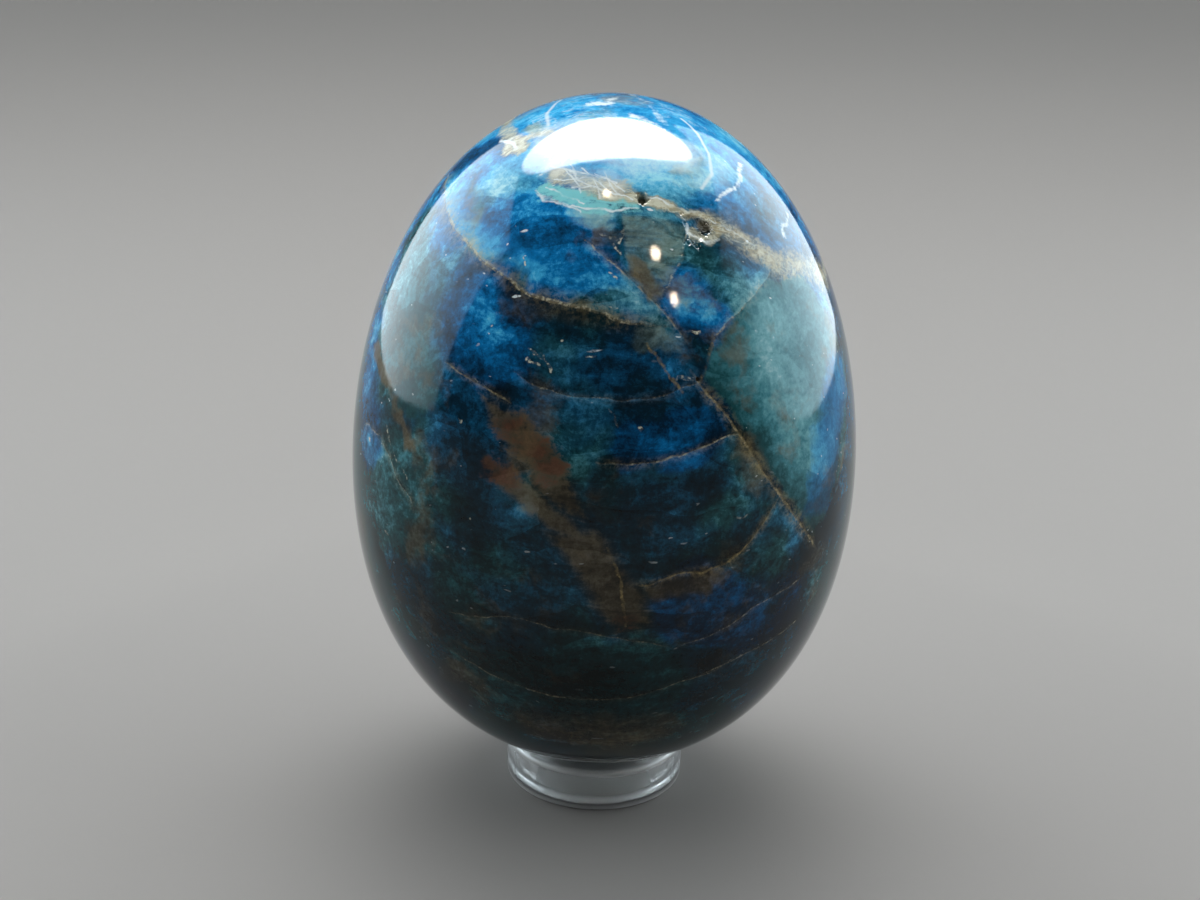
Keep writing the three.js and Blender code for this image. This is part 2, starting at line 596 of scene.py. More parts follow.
VEIN_MARKS = (
    (((-80, 71.5), (-66, 71.6), (-52, 71.2)), 0.1, 1.6, 1.0),
    (((-66, 71.6), (-58, 70.7)), 0.1, 1.1, 1.0),
    (((-56, 71.8), (-44, 72.6)), 0.0, 0.9, 0.8),
    (((-24, 69.8), (-9, 69.4), (6, 68.8)), 0.1, 1.9, 0.85),
    (((-9, 69.2), (2, 68.9)), 0.25, 1.4, 1.15),
    (((6, 68.8), (13, 68.3), (24, 67.2), (31, 67)), 0.05, 0.9, 1.0),
    (((33, 66.4), (46, 63.8), (54, 61.8)), 0.0, 2.4, 0.74),
    (((54, 61.8), (66, 60.6), (80, 58.2)), 0.0, 3.0, 0.76),
    (((26, 65.6), (30, 64.8), (35, 65.4)), 0.15, 0.8, 1.0),
    (((-84, 71.6), (-120, 70.5), (-150, 71)), 0.0, 1.5, 0.8),
    (((80, 58.2), (96, 59), (118, 57.5)), 0.0, 2.0, 0.8),
)
STRAND_MARKS = (
    (((-30, 68.5), (-24, 67.9), (-14, 67.6), (0, 67.5), (9, 67.8)), 0.02, 0.14, 0.9),
    (((-29, 68.2), (-20, 67.9), (-10, 67.3)), 0.02, 0.12, 0.8),
    (((-22, 70.4), (-16, 69.8), (-12, 68.6)), 0.02, 0.12, 0.8),
    (((-14, 70.6), (-9, 69.9), (-4, 68.4)), 0.02, 0.12, 0.8),
    (((-4, 70.4), (-1, 69.4), (4, 68.6)), 0.02, 0.12, 0.7),
    (((-26, 68.9), (-18, 68.2), (-10, 68.0)), 0.02, 0.12, 0.9),
    (((-28, 70.5), (-12, 70.1), (2, 69.6)), 0.02, 0.14, 0.8),
    (((-24, 69.5), (-10, 69.8), (-2, 69.2)), 0.02, 0.12, 0.8),
    (((-20, 70.8), (-14, 69.6), (-8, 69.0)), 0.02, 0.12, 0.7),
    (((-16, 69.0), (-2, 69.0), (8, 68.4)), 0.02, 0.14, 0.9),
    (((-8, 70.2), (0, 69.6), (5, 69.0)), 0.02, 0.12, 0.7),
    (((14, 68.6), (22, 67.6), (30, 67.2)), 0.02, 0.12, 0.8),
    (((34, 66.6), (44, 64.6), (54, 62.6)), 0.02, 0.14, 0.5),
    (((24, 65.9), (29, 64.6), (34, 64.7)), 0.04, 0.20, 0.65),
    (((25, 66.4), (24.5, 65.6)), 0.04, 0.20, 0.65),
    (((-70, 71.0), (-60, 71.3), (-54, 71.0)), 0.06, 0.30, 0.9),
)
GOLD_MARKS = (
    (((9, 57), (11, 55.9), (14, 54.2), (17, 52.6)), 0.03, 0.18, 0.8),
    (((27, 57.3), (24, 55.4), (22, 53.4)), 0.04, 0.25, 0.6),
    (((1, 38.1), (5, 34.4), (6, 29.8)), 0.03, 0.15, 0.8),
    (((7, 63.0), (10, 61.0)), 0.04, 0.30, 0.7),
)
PALE_MARKS = (
    (((-19, 55.9), (-16, 55.4)), 0.04, 0.12, 1.6),
    (((-19, 55.1), (-16, 54.8)), 0.05, 0.12, 1.6),
    (((-16, 55.7), (-14, 55.1), (-13, 54.4)), 0.03, 0.12, 1.6),
    (((-9, 59.8), (-3, 59.9), (2, 60.0)), 0.02, 0.10, 1.2),
    (((0, 62.6), (2, 62.3)), 0.04, 0.12, 1.4),
    (((-4, 55.8), (-2, 55.8)), 0.04, 0.12, 1.4),
    (((19, 57.6), (23, 57.5)), 0.05, 0.14, 1.4),
    (((7.5, 49.5),), 0.10, 0.14, 1.6),
    (((-11, 57),), 0.06, 0.12, 1.5),
    (((-33.5, 48.4),), 0.10, 0.14, 1.6),
    (((-27, 63.4), (-25, 62.8)), 0.04, 0.12, 1.2),
    (((1, 64.9), (3, 64.2)), 0.04, 0.14, 1.2),
    (((-31, 52.4), (-27, 51.7)), 0.03, 0.12, 1.1),
    (((15, 46.7), (16, 46.7)), 0.05, 0.14, 1.6),
    (((-29, 58.7),), 0.10, 0.16, 1.3),
    (((-29.5, 57.4),), 0.08, 0.14, 1.3),
    (((1, 51.1), (3, 49.5)), 0.02, 0.12, 0.9),
    (((-64, 42.4),), 0.12, 0.20, 1.5),
    (((-57, 45), (-53, 42.8), (-47, 41.4)), 0.02, 0.14, 0.8),
    (((16, 53.7), (21, 53.6)), 0.04, 0.18, 0.8),
    (((24, 66.0), (20, 63.6), (14, 60.9)), 0.02, 0.14, 0.8),
    (((-4, 65.9), (2, 65.3), (3, 65), (4, 66.1)), 0.06, 0.15, 1.4),
    (((29, 40.3), (32, 40.5)), 0.04, 0.14, 0.9),
    (((-55, 34.3), (-54, 34.0)), 0.05, 0.14, 1.3),
    (((-28.5, 39.4),), 0.06, 0.12, 1.4),
)
WHITE_MARKS = (
    (((68, 69.7), (62, 69.2), (54, 68.6)), 0.0, 0.7, 1.0),
    (((54, 68.6), (46, 68.5), (40, 68.0)), 0.0, 0.5, 0.9),
    (((75, 64.8), (66, 64.6), (63, 64.0)), 0.0, 0.6, 0.9),
    (((-56, 74.4), (-20, 74.5), (10, 74.7)), 0.0, 1.2, 0.9),
    (((22, 74.1), (32, 73.7), (40, 73.1)), 0.0, 0.8, 1.0),
    (((150, 74.5), (60, 74.2), (42, 73.2)), 0.0, 0.8, 0.8),
)
LOOP_MARKS = (
    (((-115, 73.8), (-75, 73.5), (-52, 72.9)), 0.03, 0.25, 0.6),
    (((68, 73.4), (61, 72.3), (53, 70.9), (45, 69.7), (36, 69)), 0.03, 0.25, 0.7),
)
# White haze, partly a painted highlight under the top lamp's reflection
WISP_AND_HIGHLIGHT_MARKS = (
    (((-28, 70.3), (-10, 69.7), (2, 69.4)), 0.3, 1.3, 0.7),
    # White under the top highlight: partly a painted highlight
    (((-38, 72.4), (0, 71.6), (32, 71.2)), 1.6, 1.6, 1.0),
    (((-100, 73), (150, 73.8)), 0.5, 2.0, 0.35),
    (((48, 70.4), (40, 69)), 0.6, 2.0, 0.45),
)
PITS = (
    # place, radius, depth, unevenness
    ((11, 68.5), 0.65, 0.9, 0.35),
    ((31, 66.1), 0.80, 1.1, 0.35),
    ((28, 65.8), 1.50, 0.25, 0.60),
    ((21, 53.6), 0.25, 0.3, 0.30),
)
HOLE_MARKS = (
    (((11, 68.5),), 0.30, 0.30, 1.0),
    (((31, 66.1),), 0.45, 0.35, 1.0),
    (((21, 53.6),), 0.08, 0.15, 1.0),
)

# Colours of the stone from its darkest depths to its palest clouds

ROYAL_TONES = (
    (0.00, (0.0010, 0.0050, 0.0100)),
    (0.30, (0.0015, 0.0230, 0.0560)),
    (0.50, (0.0020, 0.0800, 0.2150)),
    (0.68, (0.0040, 0.2000, 0.5200)),
    (0.84, (0.0550, 0.4700, 0.8200)),
    (1.00, (0.3000, 0.7500, 0.9300)),
)
TEAL_TONES = (
    (0.00, (0.0015, 0.0060, 0.0065)),
    (0.30, (0.0035, 0.0270, 0.0320)),
    (0.50, (0.0130, 0.0830, 0.0960)),
    (0.68, (0.0600, 0.2450, 0.2950)),
    (0.84, (0.1900, 0.4800, 0.5400)),
    (1.00, (0.5200, 0.7600, 0.7800)),
)
# Darker colour in the holes
HOLE_DARKENING = (0.050, 0.042, 0.022)

# Materials


def new_material(name):
    material = bpy.data.materials.new(name)
    material.use_nodes = True
    shader = material.node_tree.nodes["Principled BSDF"]
    return material, Graph(material.node_tree), shader


class Stone(Figure):
    """The stone's own patterns, and the layers that lie over each other on it. A layer
    takes the colour of what is below it, the body, and returns the new one."""

    def __init__(self, graph, egg):
        super().__init__(graph, egg)
        place = graph.add("ShaderNodeTexCoord").outputs["Object"]
        mapping = graph.add("ShaderNodeMapping", place)
        mapping.inputs["Scale"].default_value = (1 / MM,) * 3
        self.mm = mm = mapping.outputs[0]

        # How far the marks are shaken: little for cracks, more for patches
        self.gentle = gentle = graph.warp(mm, 0.16, 0.8, 2)
        self.fine = graph.warp(gentle, 1.3, 0.09, 3)
        self.loose = loose = graph.warp(graph.warp(mm, 0.10, 2.4, 2), 0.6, 1.0, 4)

        # Clouds, and fibres that run down to the right
        self.broad = graph.noise(loose, 0.07, 3, 0.55)["Fac"]
        self.cloud = graph.noise(loose, 0.24, 7, 0.66)["Fac"]
        self.grain = graph.noise(gentle, 1.6, 6, 0.78)["Fac"]
        tilted = graph.add("ShaderNodeMapping", gentle)
        tilted.inputs["Rotation"].default_value = (0.3, 0.9, 0.2)
        tilted.inputs["Scale"].default_value = (0.22, 1.0, 1.0)
        self.fibre_place = tilted.outputs[0]
        self.streak = graph.noise(self.fibre_place, 0.75, 5, 0.62, 0.5)["Fac"]
        self.tall = graph.add("ShaderNodeSeparateXYZ", mm).outputs["Z"]

        # What breaks up the edges of marks
        self.shaker = graph.math("MULTIPLY_ADD", self.cloud, 1.6, -0.8)
        tear = graph.math("MULTIPLY_ADD", self.grain, 2.2, -1.1)
        tear = graph.math("ADD", graph.math("MULTIPLY_ADD", self.streak, 3.0, -1.5), tear)
        self.tear = graph.math("ADD", tear, self.shaker)
        self.wavy = graph.warp(gentle, 0.9, 0.45, 3)

    def marked(self, position, marks, start=0.0, wide=False):
        total = start
        for path, width, soft, amount in marks:
            total = self.strokes(position, total, path, width, soft, amount, wide)
        return total

    def zone(self, marks):
        """A mask from wide marks, with an edge that the clouds break up."""
        graph = self.graph
        total = self.marked(self.loose, marks, wide=True)
        ragged = graph.fade(graph.math("ADD", total, self.shaker), 0.05, 0.95)
        return graph.math("MULTIPLY", ragged, graph.fade(total, 0.0, 0.3))

    def torn(self, total, start, end, high):
        """The part of a soft mask that is left when fibres and grain tear at it."""
        graph = self.graph
        left = graph.fade(graph.math("ADD", total, self.tear), start, end, 0, high)
        return graph.math("MULTIPLY", left, graph.fade(total, 0.0, 0.3))

    def form(self, corners, soft, uneven):
        """A mask inside corners, with an edge so many millimetres soft and uneven."""
        graph = self.graph
        depth = self.inside(self.fine, corners)
        depth = graph.math("MULTIPLY_ADD", self.tear, uneven, depth)
        return graph.fade(depth, -soft / 2, soft / 2)

    def open_cracks(self):
        """Adds up the cracks, and finds where their lines are broken off."""
        breaks = self.graph.noise(self.fine, 0.45, 3, 0.65)["Fac"]
        self.breaks = self.graph.fade(breaks, 0.36, 0.60, 0.15, 1)
        state = {"Pale": 0.0, "Gold": 0.0, "Haze": 0.0, "Tone": 0.0}
        for places, width, spread, amounts in FRACTURES:
            state = self.fracture(self.fine, state, places, width, spread, amounts)
        self.crack = state

    def unrest(self, milky_and_reflection):
        """How the stone's own patterns lift and lower its tone, less in the pale teal
        zones, which are partly painted reflections, and in the crown."""
        graph = self.graph
        shaken = graph.warp(self.fibre_place, 0.3, 0.5, 2)
        planes = graph.channel(graph.cells(shaken, 0.30)["Color"], 0)
        shaken = graph.warp(self.gentle, 0.8, 0.25, 2)
        shards = graph.channel(graph.cells(shaken, 0.42)["Color"], 0)
        total = 0.0
        for source, gain in (
            (self.cloud, 0.56),
            (self.grain, 0.78),
            (self.streak, 0.64),
            (self.broad, 0.32),
            (planes, 0.15),
            (shards, 0.08),
        ):
            change = graph.math("MULTIPLY_ADD", source, gain, -gain / 2)
            total = graph.math("ADD", total, change)
        calm = graph.math("MULTIPLY", milky_and_reflection, 0.45)
        calm = graph.math("MAXIMUM", calm, graph.fade(self.tall, 66, 72, 0, 0.40))
        return graph.math("MULTIPLY", total, graph.math("SUBTRACT", 1.0, calm))

    def depths(self):
        """The blue and teal body. Its tone runs from 0 in the darkest depths to 1 in
        the palest clouds."""
        graph, tall, loose = self.graph, self.tall, self.loose
        # Pale teal zones, partly painted reflections of the side lamps: they turn the stone
        # teal, calm its patterns and, inside the form, make it paler
        milky_and_reflection = self.zone(MILKY_AND_REFLECTION_MARKS)
        milky_and_reflection_form = self.form(MILKY_AND_REFLECTION_FORM, 0.8, 0.6)
        milky_and_reflection = graph.math("MAXIMUM", milky_and_reflection, milky_and_reflection_form)
        unrest = self.unrest(milky_and_reflection)
        # Darker towards the bottom and paler at the crown: partly the stone's own colour,
        # partly painted shade low down and painted light from above
        tone = graph.fade(tall, 12, 58, 0.225, 0.505)
        tone = graph.math("ADD", tone, graph.fade(tall, 65, 71.5, 0, 0.27))
        tone = graph.math("ADD", tone, unrest)
        tone = graph.math("ADD", tone, self.crack["Tone"])
        for source, gain in (
            (self.marked(loose, PALER_AND_REFLECTION_MARKS, wide=True), 0.20),
            (self.marked(loose, DARK_MARKS, wide=True), -0.20),
            (milky_and_reflection_form, 0.10),
            (self.form(WEDGE_FORM, 0.5, 0.3), -0.14),
            (self.form(FACET_FORM, 0.5, 0.25), 0.05),
        ):
            tone = graph.math("MULTIPLY_ADD", source, gain, tone)
        self.tone = tone
        royal = graph.ramp(tone, ROYAL_TONES)
        teal = graph.ramp(tone, TEAL_TONES)
        hue = graph.fade(self.broad, 0.40, 0.60, 0.15, 0.95)
        hue = graph.math("MAXIMUM", hue, milky_and_reflection)
        hue = graph.math("ADD", hue, graph.fade(tall, 60, 36, 0, 0.40))
        hue = graph.math("SUBTRACT", hue, self.zone(ROYAL_AND_REFLECTION_MARKS))
        hue = graph.math("SUBTRACT", hue, graph.fade(tall, 66.5, 71.5))
        hue = graph.math("MINIMUM", graph.math("MAXIMUM", hue, 0.0), 1.0)
        return graph.mix(hue, royal, teal)

    def dull_zones(self, body):
        """Dull, brown and rusty zones, as dark and pale as the stone round them."""
        graph, egg = self.graph, self.egg
        lit = graph.fade(self.tone, 0.05, 0.80, 0.25, 1.75)
        self.grey_green = graph.scaled(egg.grey_green, lit)
        brown = graph.scaled(egg.brown, lit)
        rust_form = self.form(RUST_FORM, 1.0, 0.9)
        bark = graph.math("MAXIMUM", rust_form, self.form(LIMB_FORM, 1.0, 0.7))
        bark = graph.math("MAXIMUM", bark, self.form(BARK_FORM, 1.4, 0.9))
        brown_zone = graph.math("MAXIMUM", self.zone(BROWN_MARKS), bark)
        facet = graph.fade(self.streak, 0.40, 0.60, 0.30, 0.90)
        facet = graph.math("MULTIPLY", self.form(FACET_FORM, 0.5, 0.25), facet)
        grey_zone = graph.math("MAXIMUM", self.zone(GREY_MARKS), facet)
        body = graph.mix(graph.math("MULTIPLY", grey_zone, 0.80), body, self.grey_green)
        body = graph.mix(graph.math("MULTIPLY", brown_zone, 0.80), body, brown)
        rusty = self.torn(self.marked(self.fine, RUST_MARKS, wide=True), 0.20, 1.10, 0.85)
        body = graph.mix(rusty, body, graph.scaled(egg.rust, lit))
        stain = graph.channel(graph.noise(self.loose, 0.13, 5, 0.6)["Color"], 2)
        return graph.mix(graph.fade(stain, 0.54, 0.68, 0, 0.55), body, brown)

    def crack_lines(self, body):
        """An olive haze, a dull thread and bright flecks along it."""
        graph, egg = self.graph, self.egg
        patches = graph.fade(self.grain, 0.40, 0.60, 0, 0.65)
        haze = graph.math("MULTIPLY", self.crack["Haze"], patches)
        olive = graph.scaled(egg.gold, graph.fade(self.tone, 0.1, 0.8, 0.25, 1))
        body = graph.mix(haze, body, olive)
        flecks = graph.noise(self.fine, 2.6, 3, 0.6)["Fac"]
        flecks = graph.fade(flecks, 0.46, 0.62)
        for source, marks, shade, dull, bright in (
            ("Gold", GOLD_MARKS, egg.gold, 0.34, 0.66),
            ("Pale", PALE_MARKS, egg.cream, 0.06, 0.94),
        ):
            line = self.marked(self.wavy, marks, self.crack[source])
            line = graph.math("MULTIPLY", line, self.breaks)
            glow = graph.math("MULTIPLY_ADD", flecks, bright, dull)
            body = graph.mix(graph.math("MULTIPLY", line, glow), body, shade)
        return body

    def shoulder_vein(self, body):
        """The long cream vein over the shoulder: stained stone, a torn core and
        fibres, with a pale turquoise lens under it."""
        graph, egg, wavy = self.graph, self.egg, self.wavy
        lens = self.torn(self.marked(wavy, LENS_MARKS), 0.10, 0.90, 0.90)
        body = graph.mix(lens, body, egg.turquoise)
        vein = self.marked(wavy, VEIN_MARKS)
        ridge = graph.noise(self.fibre_place, 1.6, 4, 0.6, 0.8)["Fac"]
        ridge = graph.math("ABSOLUTE", graph.math("SUBTRACT", ridge, 0.5))
        self.fibres = graph.fade(ridge, 0.0, 0.06, 1, 0)
        body = graph.mix(graph.fade(vein, 0.15, 1.0, 0, 0.40), body, self.grey_green)
        body = graph.mix(graph.fade(vein, 0.30, 1.0, 0, 0.30), body, egg.cream)
        stained = self.torn(vein, 0.25, 1.05, 0.75)
        patches = graph.fade(self.cloud, 0.44, 0.54, 0.25, 1)
        body = graph.mix(graph.math("MULTIPLY", stained, patches), body, egg.gold)
        self.core = self.torn(vein, 0.70, 1.60, 0.85)
        body = graph.mix(self.core, body, egg.cream)
        threads = graph.fade(vein, 0.2, 0.8, 0, 0.70)
        body = graph.mix(graph.math("MULTIPLY", self.fibres, threads), body, egg.cream)
        strands = graph.math("MULTIPLY", self.marked(wavy, STRAND_MARKS), self.breaks)
        return graph.mix(strands, body, egg.white)

    def crown(self, body):
        """White haze, threads and snow near the top. The haze under the top highlight is
        partly a painted highlight.
        """
        graph, egg = self.graph, self.egg
        # The haze under the top highlight is partly a painted highlight
        wisps_and_highlight = self.marked(self.loose, WISP_AND_HIGHLIGHT_MARKS, wide=True)
        wisps_and_highlight = graph.math("MULTIPLY", wisps_and_highlight, 0.50)
        wisps_and_highlight = graph.math("MULTIPLY", wisps_and_highlight, graph.fade(self.cloud, 0.30, 0.60, 0.35, 1))
        body = graph.mix(wisps_and_highlight, body, egg.white)
        top = graph.fade(self.tall, 69, 73.5, 0, 0.35)
        top = graph.math("MULTIPLY", top, graph.fade(self.cloud, 0.48, 0.60))
        body = graph.mix(graph.math("MULTIPLY", self.fibres, top), body, egg.white)
        snow = self.torn(self.marked(self.wavy, WHITE_MARKS), 0.40, 1.40, 0.9)
        snow = graph.math("MAXIMUM", snow, self.marked(self.fine, LOOP_MARKS))
        return graph.mix(snow, body, egg.white)

    def glints(self, body):
        """Short bright glints, fewer in dark clouds and low down."""
        graph = self.graph
        spots = graph.cells(graph.warp(self.fibre_place, 1.5, 0.25, 2), 1.7)
        chance = graph.channel(spots["Color"], 1)
        size = graph.math("MULTIPLY_ADD", chance, 0.9, -0.65)
        glint = graph.math("SUBTRACT", size, spots["Distance"])
        glint = graph.fade(glint, 0.0, 0.10, 0, 0.85)
        glint = graph.math("MULTIPLY", glint, graph.fade(self.cloud, 0.44, 0.54, 0.1, 1))
        glint = graph.math("MULTIPLY", glint, graph.fade(self.tall, 26, 52, 0.15, 1))
        return graph.mix(glint, body, self.egg.white)

    def darken_holes(self, body):
        """Darkens the holes."""
        self.holes = self.marked(self.mm, HOLE_MARKS)
        darkened = self.graph.math("MULTIPLY", self.holes, 0.85)
        return self.graph.mix(darkened, body, HOLE_DARKENING)

    def roughness(self):
        """Polished, but for the vein's core and the holes."""
        graph = self.graph
        worn = graph.fade(self.grain, 0.40, 0.70, 0.06, 0.10)
        rough = graph.math("MAXIMUM", graph.math("MULTIPLY", self.core, 0.16), worn)
        return graph.math("MAXIMUM", rough, graph.math("MULTIPLY", self.holes, 0.6))

    def polishing_marks(self):
        ripple = self.graph.noise(self.fibre_place, 2.4, 3, 0.6)["Fac"]
        bump = self.graph.add("ShaderNodeBump")
        self.graph.feed_named(bump, Strength=0.10, Distance=0.02 * MM, Height=ripple)
        return bump.outputs[0]


def stone_material(egg):
    material, graph, shader = new_material("polished_stone")
    stone = Stone(graph, egg)
    stone.open_cracks()
    body = stone.depths()
    for layer in (
        stone.dull_zones,
        stone.crack_lines,
        stone.shoulder_vein,
        stone.crown,
        stone.glints,
        stone.darken_holes,
    ):
        body = layer(body)
    graph.feed_named(
        shader,
        Base_Color=body,
        Roughness=stone.roughness(),
        IOR=1.55,
        Specular_IOR_Level=0.20,
        Normal=stone.polishing_marks(),
    )
    return material


def acrylic_material(ring):
    """Clear, with a faint haze that is stronger on the polished rims."""
    material, graph, shader = new_material("clear_acrylic")
    place = graph.add("ShaderNodeTexCoord").outputs["Object"]
    haze = graph.noise(place, 900, 4, 0.6)["Fac"]
    tall = graph.add("ShaderNodeSeparateXYZ", place).outputs["Z"]
    rims = graph.math(
        "MAXIMUM",
        graph.fade(tall, 1.0 * MM, 0.1 * MM),
        graph.fade(tall, ring.height - 0.9 * MM, ring.height - 0.1 * MM),
    )
    rough = graph.fade(haze, 0.4, 0.7, 0.06, 0.10)
    graph.feed_named(
        shader,
        Roughness=graph.math("MULTIPLY_ADD", rims, 0.15, rough),
        Transmission_Weight=graph.math("MULTIPLY_ADD", rims, -0.50, 0.88),
        Base_Color=ring.tint,
        IOR=1.49,
        Coat_Weight=1.0,
        Coat_Roughness=0.38,
        Coat_IOR=1.8,
        Specular_IOR_Level=0.3,
    )
    return material


# Pieces

RIM_ANGLE = 0.7  # an edge of the ring that turns by more, in radians, is a rim
RIM_STEPS = 6
PIT_LEVELS = 3  # how often the skin round a pit is refined, each time less wide
PIT_STEP = 0.09  # the longest edge that is left whole there, in millimetres


def turned(section, sides, closed=False):
    """A mesh turned about the upright axis from the places of a section, which are
    distances out from the axis and heights."""
    made = bmesh.new()
    verts = [made.verts.new((out, 0, height)) for out, height in section]
    pairs = list(zip(verts, verts[1:]))
    if closed:
        pairs.append((verts[-1], verts[0]))
    edges = [made.edges.new(pair) for pair in pairs]
    bmesh.ops.spin(
        made,
        geom=verts + edges,
        axis=(0, 0, 1),
        cent=(0, 0, 0),
        angle=math.tau,
        steps=sides,
        use_merge=True,
    )
    bmesh.ops.remove_doubles(made, verts=made.verts, dist=MERGE_GAP)
    return made


def finish_piece(name, made, material, body, node):
    mesh = bpy.data.meshes.new(name)
    made.normal_update()
    made.to_mesh(mesh)
    made.free()
    mesh.shade_smooth()
    mesh.materials.append(material)
    piece = bpy.data.objects.new(name, mesh)
    bpy.context.scene.collection.objects.link(piece)
    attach(piece, body)
    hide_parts(node)


def carve_pit(made, egg, place, radius, depth, rough):
    """Refines the skin round a place, lays the new points on the egg and presses
    them in, with an uneven outline."""
    turn, height = place
    scale = girth_scale(egg)
    centre = egg_point(turn, height * MM, egg, scale)
    facing = egg_facing(turn, height * MM, egg, scale)
    reach = radius * MM
    for level in range(PIT_LEVELS):
        area = reach * (1.9 - 0.25 * level) + 0.2 * MM
        near = [
            edge
            for edge in made.edges
            if ((edge.verts[0].co + edge.verts[1].co) / 2 - centre).length < area
            and edge.calc_length() > PIT_STEP * MM
        ]
        cut = bmesh.ops.subdivide_edges(made, edges=near, cuts=1, use_grid_fill=True)
        for part in cut["geom_inner"] + cut["geom_split"]:
            if isinstance(part, bmesh.types.BMVert):
                out = Vector((part.co.x, part.co.y)).normalized()
                out *= half_width(part.co.z, egg, scale)
                part.co = Vector((out.x, out.y, part.co.z))
    for vert in made.verts:
        away = (vert.co - centre).length
        if away < 2 * reach:
            shake = noise.fractal(vert.co / reach * 1.4, 0.7, 2.0, 4)
            share = 1 - away / reach * (1 + rough * shake)
            if share > 0:
                press = min(1.0, share * 1.8)
                press = press * press * (3 - 2 * press)
                vert.co -= facing * depth * MM * press * (1 + 0.5 * rough * shake)


class OBJECT_OT_stone_egg(bpy.types.Operator):
    """Builds the polished stone egg"""

    bl_idname = "egg_stand.stone_egg"
    bl_label = "Stone egg"

    def execute(self, context):
        egg = context.scene.egg_settings
        scale = girth_scale(egg)
        outline = []
        for i in range(egg.rings + 1):
            share = -math.cos(math.pi * i / egg.rings)
            out = scale * plain_half_width(share, egg) if 0 < i < egg.rings else 0
            outline.append((out, egg.foot + egg.height * (1 + share) / 2))
        made = turned(outline, egg.sides)
        for pit in PITS:
            carve_pit(made, egg, *pit)
        bmesh.ops.recalc_face_normals(made, faces=made.faces)
        stone = stone_material(egg)
        finish_piece("polished_stone_egg", made, stone, "egg", "stone_egg")
        return {"FINISHED"}


class OBJECT_OT_ring_stand(bpy.types.Operator):
    """Builds the clear acrylic ring that carries the egg"""

    bl_idname = "egg_stand.ring_stand"
    bl_label = "Ring stand"

    def execute(self, context):
        ring = context.scene.ring_settings
        inner, outer = ring.bore / 2, ring.diameter / 2
        corners = ((inner, 0), (outer, 0), (outer, ring.height), (inner, ring.height))
        made = turned(corners, ring.sides, closed=True)
        bmesh.ops.recalc_face_normals(made, faces=made.faces)
        bmesh.ops.bevel(
            made,
            geom=[edge for edge in made.edges if edge.calc_face_angle(0) > RIM_ANGLE],
            offset=ring.edge,
            offset_type="OFFSET",
            affect="EDGES",
            segments=RIM_STEPS,
            profile=0.5,
            material=-1,
        )
        clear = acrylic_material(ring)
        finish_piece("clear_ring_stand", made, clear, "stand", "ring_stand")
        return {"FINISHED"}


# The studio

WARM = (1.0, 0.80, 0.58)
COOL = (0.78, 0.92, 1.0)
PALE_SKY = (0.92, 0.98, 1.0)
LAMP_CENTRE = 0.04  # height of the point that the lamps stand round and face, in metres


class Lamp(NamedTuple):
    """A flat lamp that faces the object. Angles are degrees, lengths are metres."""

    name: str
    turn: float  # from the front
    lift: float  # above the horizon
    distance: float
    width: float
    height: float
    level: str  # the setting that says how bright it is
    share: float = 1.0  # of that setting
    tint: tuple = (1.0, 1.0, 1.0)
    shape: str = "RECTANGLE"
    spread: float = 180  # a narrow one softens the edges
    lean: float = 0  # turns the lamp about its upright, so that one side fades more
    lights: bool = True  # cards and small lamps only show in reflections
    mirrored: bool = True  # side panels and ceiling don't show in reflections


def card(*place, **values):
    return Lamp(*place, lights=False, **values)


def panel(*place, **values):
    return Lamp(*place, mirrored=False, **values)


def spot(name, turn, lift, size, share):
    looks = {"share": share, "tint": WARM, "shape": "DISK"}
    return card(name, turn, lift, 0.55, size, size, "spots_level", **looks)


SIDE_CARD = {"level": "shine_level", "tint": COOL, "spread": 105}
SIDE_PANEL = {"level": "sides_level", "tint": PALE_SKY}
LAMPS = (
    card("left_card", -107, 22, 0.34, 0.445, 0.36, lean=-16, **SIDE_CARD),
    card("right_card", 105, 20, 0.34, 0.495, 0.34, lean=24, **SIDE_CARD),
    panel("left_panel", -105, 32, 1.2, 1.5, 1.1, **SIDE_PANEL),
    panel("right_panel", 105, 32, 1.2, 1.5, 1.1, **SIDE_PANEL),
    Lamp("top_panel", 184, 63, 0.60, 0.76, 0.35, "top_level", shape="ELLIPSE", spread=90),
    panel("ceiling", 0, 90, 2.2, 3.0, 3.0, "ceiling_level"),
    card("top_card", 188, 65, 0.60, 0.74, 0.36, "card_level", shape="ELLIPSE", spread=85),
    spot("high_lamp", -12.8, 78.2, 0.036, 110),
    spot("middle_lamp", 34.1, 51.2, 0.044, 125),
    spot("low_lamp", 37.9, 35.8, 0.034, 125),
)

# Where the photograph was taken from: degrees, and metres from the point looked round

CAMERA_RISE = 22.49  # how far above the horizon the camera stands
CAMERA_DISTANCE = 0.2295
CAMERA_CENTRE = 0.035  # height of that point
CAMERA_SIDEWAYS = -0.00043
CAMERA_DROP = 21.9  # how far below the horizon the camera looks
CAMERA_ROLL = 1.857


def make_floor(stage):
    made = bmesh.new()
    bmesh.ops.create_grid(made, x_segments=1, y_segments=1, size=stage.floor_size / 2)
    mesh = bpy.data.meshes.new("floor")
    made.to_mesh(mesh)
    made.free()
    floor = bpy.data.objects.new("floor", mesh)
    bpy.context.scene.collection.objects.link(floor)
    material, graph, shader = new_material("pale_floor")
    graph.feed_named(
        shader, Base_Color=stage.floor_colour, Roughness=0.8, Specular_IOR_Level=0.1
    )
    mesh.materials.append(material)


def make_surroundings(stage):
    world = bpy.data.worlds.new("studio")
    world.use_nodes = True
    background = world.node_tree.nodes["Background"]
    background.inputs["Color"].default_value = (1, 1, 1, 1)
    background.inputs["Strength"].default_value = stage.fill_level
    bpy.context.scene.world = world


